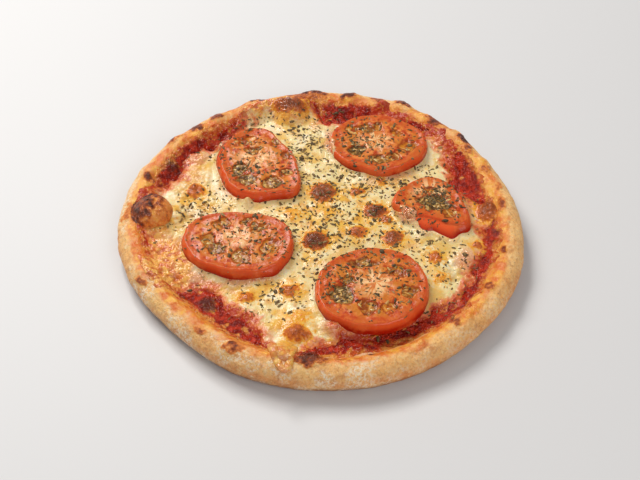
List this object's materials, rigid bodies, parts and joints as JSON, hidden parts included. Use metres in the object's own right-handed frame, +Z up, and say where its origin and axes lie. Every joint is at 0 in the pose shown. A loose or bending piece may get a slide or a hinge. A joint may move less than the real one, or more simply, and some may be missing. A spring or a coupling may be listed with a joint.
{
  "type": "mini pizza",
  "caption": "Round baked mini pizza with a puffed rim, tomato sauce, browned melted cheese, thick tomato slices and dried herbs; rests flat on its base.",
  "frame": {"origin": "middle of the pizza's box, on the flat underside of its base", "axes": "+Z up, +X to the right of the picture, +Y away from the camera"},
  "size_m": [0.2026, 0.1988, 0.0215],
  "materials": {
    "baked_dough": "matte",
    "tomato_sauce": "satin",
    "melted_cheese": "satin",
    "tomato": "satin",
    "dried_herbs": "matte"
  },
  "bodies": {
    "root": {"crust": "baked_dough", "tomato_sauce": "tomato_sauce", "melted_cheese": "melted_cheese", "tomato_slice_back_left": "tomato", "tomato_slice_back_right": "tomato", "tomato_slice_front_left": "tomato", "tomato_slice_front_right": "tomato", "tomato_slice_right": "tomato"}
  },
  "joints": []
}
